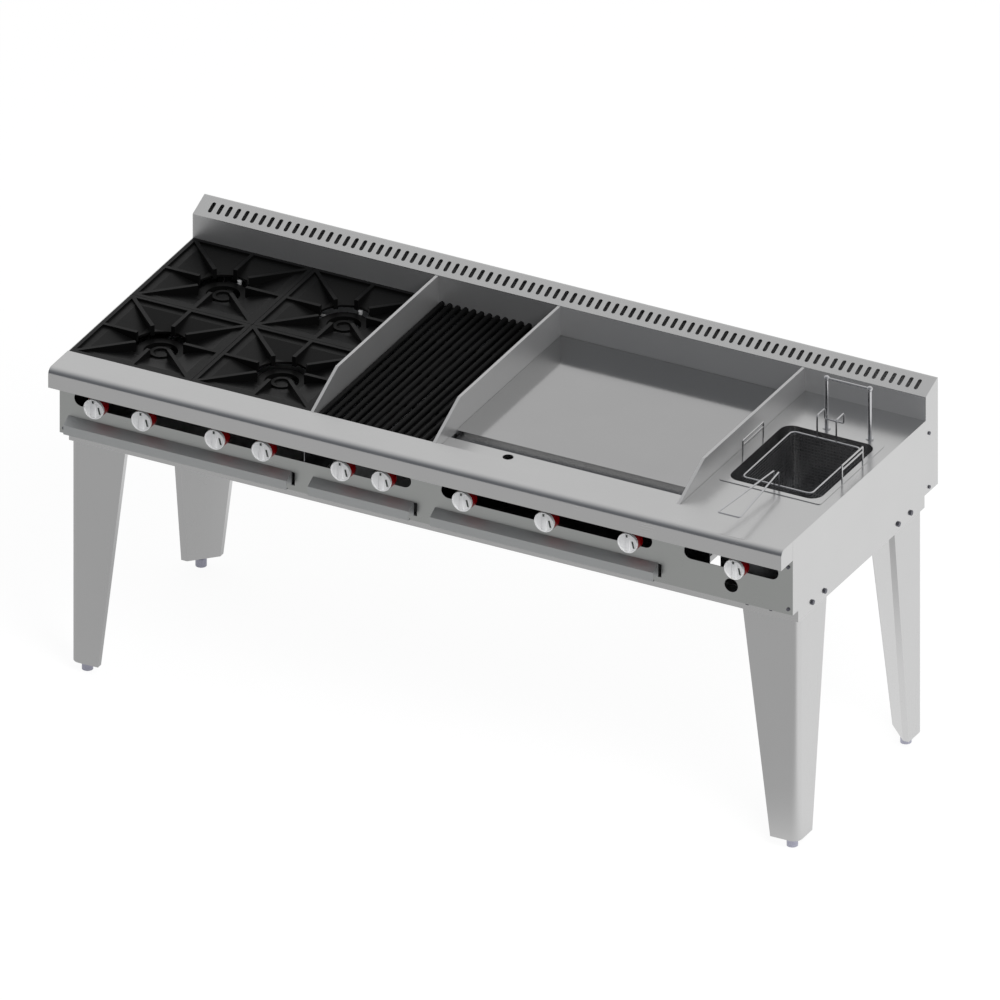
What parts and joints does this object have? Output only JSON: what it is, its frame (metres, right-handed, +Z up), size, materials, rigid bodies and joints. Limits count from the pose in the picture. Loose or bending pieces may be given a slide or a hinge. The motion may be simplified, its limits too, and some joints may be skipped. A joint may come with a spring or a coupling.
{
  "type": "commercial gas range",
  "caption": "Range-top cooking line on four legs: open burners with bowl grates, char-broiler, griddle with trough and fryer, with knobs, drip trays and a louvred backguard.",
  "frame": {"origin": "the floor point under the middle of the overall width and depth", "axes": "+X to the right as the cook faces the range, +Y to the rear, +Z up"},
  "size_m": [1.8048, 0.733, 0.9235],
  "materials": {
    "body_steel": "satin stainless sheet",
    "frame_steel": "satin stainless sheet",
    "galvanised_steel": "galvanised",
    "griddle_steel": "ground and polished plate",
    "cast_iron": "black cast iron",
    "burner_iron": "grey cast iron",
    "wire_chrome": "bright plated wire",
    "fastener_steel": "zinc plated",
    "tube_aluminium": "bright tube",
    "pipe_paint": "black painted pipe",
    "valve_brass": "cast brass",
    "knob_plastic": "silver face on a red skirt"
  },
  "bodies": {
    "body": {"base_frame": "frame_steel", "side_panel_left": "body_steel", "side_panel_right": "body_steel", "front_panel": "body_steel", "front_apron": "body_steel", "rear_panel": "galvanised_steel", "backguard": "body_steel", "bulkheads": "galvanised_steel", "burner_supports": "galvanised_steel", "pilot_tubes": "tube_aluminium", "broiler_radiants": "cast_iron", "tube_burners": "burner_iron", "griddle_plate": "griddle_steel", "grease_trough": "body_steel", "grease_drain": "body_steel", "louvre_panel": "body_steel", "fryer_deck": "body_steel", "fryer_tank": "body_steel", "basket_hanger": "wire_chrome", "fryer_burner": "burner_iron", "gas_manifold": "pipe_paint", "gas_valves": "valve_brass", "tray_runners": "galvanised_steel", "fasteners": "fastener_steel", "gas_inlet_pipe": "pipe_paint", "radiant_rack": "galvanised_steel", "leg_front_left": "frame_steel", "burner_front_left": "burner_iron", "leg_front_right": "frame_steel", "burner_front_right": "burner_iron", "leg_rear_left": "frame_steel", "burner_rear_left": "burner_iron", "leg_rear_right": "frame_steel", "burner_rear_right": "burner_iron", "guard_broiler_left": "body_steel", "guard_broiler_right": "body_steel", "guard_griddle_right": "body_steel"},
    "foot_front_left": {"foot_front_left": "fastener_steel"},
    "foot_front_right": {"foot_front_right": "fastener_steel"},
    "foot_rear_left": {"foot_rear_left": "fastener_steel"},
    "foot_rear_right": {"foot_rear_right": "fastener_steel"},
    "grate_front_left": {"grate_front_left": "cast_iron"},
    "grate_front_right": {"grate_front_right": "cast_iron"},
    "grate_rear_left": {"grate_rear_left": "cast_iron"},
    "grate_rear_right": {"grate_rear_right": "cast_iron"},
    "broiler_grate": {"broiler_grate": "cast_iron"},
    "fryer_basket": {"fryer_basket": "wire_chrome"},
    "tray_burners": {"tray_burners": "body_steel"},
    "tray_broiler": {"tray_broiler": "body_steel"},
    "tray_griddle": {"tray_griddle": "body_steel"},
    "knob_1": {"knob_1": "knob_plastic"},
    "knob_2": {"knob_2": "knob_plastic"},
    "knob_3": {"knob_3": "knob_plastic"},
    "knob_4": {"knob_4": "knob_plastic"},
    "knob_5": {"knob_5": "knob_plastic"},
    "knob_6": {"knob_6": "knob_plastic"},
    "knob_7": {"knob_7": "knob_plastic"},
    "knob_8": {"knob_8": "knob_plastic"},
    "knob_9": {"knob_9": "knob_plastic"},
    "knob_10": {"knob_10": "knob_plastic"}
  },
  "joints": [
    {"name": "foot_front_left_turn", "type": "hinge", "parent": "body", "child": "foot_front_left", "pos_m": [-0.8682, -0.2425, 0.02], "axis": [0, 0, 1], "continuous": true},
    {"name": "foot_front_right_turn", "type": "hinge", "parent": "body", "child": "foot_front_right", "pos_m": [0.8624, -0.2425, 0.02], "axis": [0, 0, 1], "continuous": true},
    {"name": "foot_rear_left_turn", "type": "hinge", "parent": "body", "child": "foot_rear_left", "pos_m": [-0.8682, 0.2885, 0.02], "axis": [0, 0, 1], "continuous": true},
    {"name": "foot_rear_right_turn", "type": "hinge", "parent": "body", "child": "foot_rear_right", "pos_m": [0.8624, 0.2885, 0.02], "axis": [0, 0, 1], "continuous": true},
    {"name": "grate_front_left_lift", "type": "slide", "parent": "body", "child": "grate_front_left", "axis": [0, 0, 1], "range_m": [0, 0.2]},
    {"name": "grate_front_right_lift", "type": "slide", "parent": "body", "child": "grate_front_right", "axis": [0, 0, 1], "range_m": [0, 0.2]},
    {"name": "grate_rear_left_lift", "type": "slide", "parent": "body", "child": "grate_rear_left", "axis": [0, 0, 1], "range_m": [0, 0.2]},
    {"name": "grate_rear_right_lift", "type": "slide", "parent": "body", "child": "grate_rear_right", "axis": [0, 0, 1], "range_m": [0, 0.2]},
    {"name": "broiler_grate_lift", "type": "slide", "parent": "body", "child": "broiler_grate", "axis": [0, 0, 1], "range_m": [0, 0.2]},
    {"name": "fryer_basket_lift", "type": "slide", "parent": "body", "child": "fryer_basket", "axis": [0, 0, 1], "range_m": [0, 0.25]},
    {"name": "tray_burners_slide", "type": "slide", "parent": "body", "child": "tray_burners", "axis": [0, -1, 0], "range_m": [0, 0.45]},
    {"name": "tray_broiler_slide", "type": "slide", "parent": "body", "child": "tray_broiler", "axis": [0, -1, 0], "range_m": [0, 0.45]},
    {"name": "tray_griddle_slide", "type": "slide", "parent": "body", "child": "tray_griddle", "axis": [0, -1, 0], "range_m": [0, 0.45]},
    {"name": "knob_1_turn", "type": "hinge", "parent": "body", "child": "knob_1", "pos_m": [-0.8022, -0.3285, 0.7045], "axis": [0, 1, 0], "range_deg": [0, 90]},
    {"name": "knob_2_turn", "type": "hinge", "parent": "body", "child": "knob_2", "pos_m": [-0.6852, -0.3285, 0.7045], "axis": [0, 1, 0], "range_deg": [0, 90]},
    {"name": "knob_3_turn", "type": "hinge", "parent": "body", "child": "knob_3", "pos_m": [-0.5052, -0.3285, 0.7045], "axis": [0, 1, 0], "range_deg": [0, 90]},
    {"name": "knob_4_turn", "type": "hinge", "parent": "body", "child": "knob_4", "pos_m": [-0.39, -0.3285, 0.7045], "axis": [0, 1, 0], "range_deg": [0, 90]},
    {"name": "knob_5_turn", "type": "hinge", "parent": "body", "child": "knob_5", "pos_m": [-0.1959, -0.3285, 0.7045], "axis": [0, 1, 0], "range_deg": [0, 90]},
    {"name": "knob_6_turn", "type": "hinge", "parent": "body", "child": "knob_6", "pos_m": [-0.096, -0.3285, 0.7045], "axis": [0, 1, 0], "range_deg": [0, 90]},
    {"name": "knob_7_turn", "type": "hinge", "parent": "body", "child": "knob_7", "pos_m": [0.102, -0.3285, 0.7045], "axis": [0, 1, 0], "range_deg": [0, 90]},
    {"name": "knob_8_turn", "type": "hinge", "parent": "body", "child": "knob_8", "pos_m": [0.3042, -0.3285, 0.7045], "axis": [0, 1, 0], "range_deg": [0, 90]},
    {"name": "knob_9_turn", "type": "hinge", "parent": "body", "child": "knob_9", "pos_m": [0.5088, -0.3285, 0.7045], "axis": [0, 1, 0], "range_deg": [0, 90]},
    {"name": "knob_10_turn", "type": "hinge", "parent": "body", "child": "knob_10", "pos_m": [0.7701, -0.3285, 0.7045], "axis": [0, 1, 0], "range_deg": [0, 270]}
  ]
}
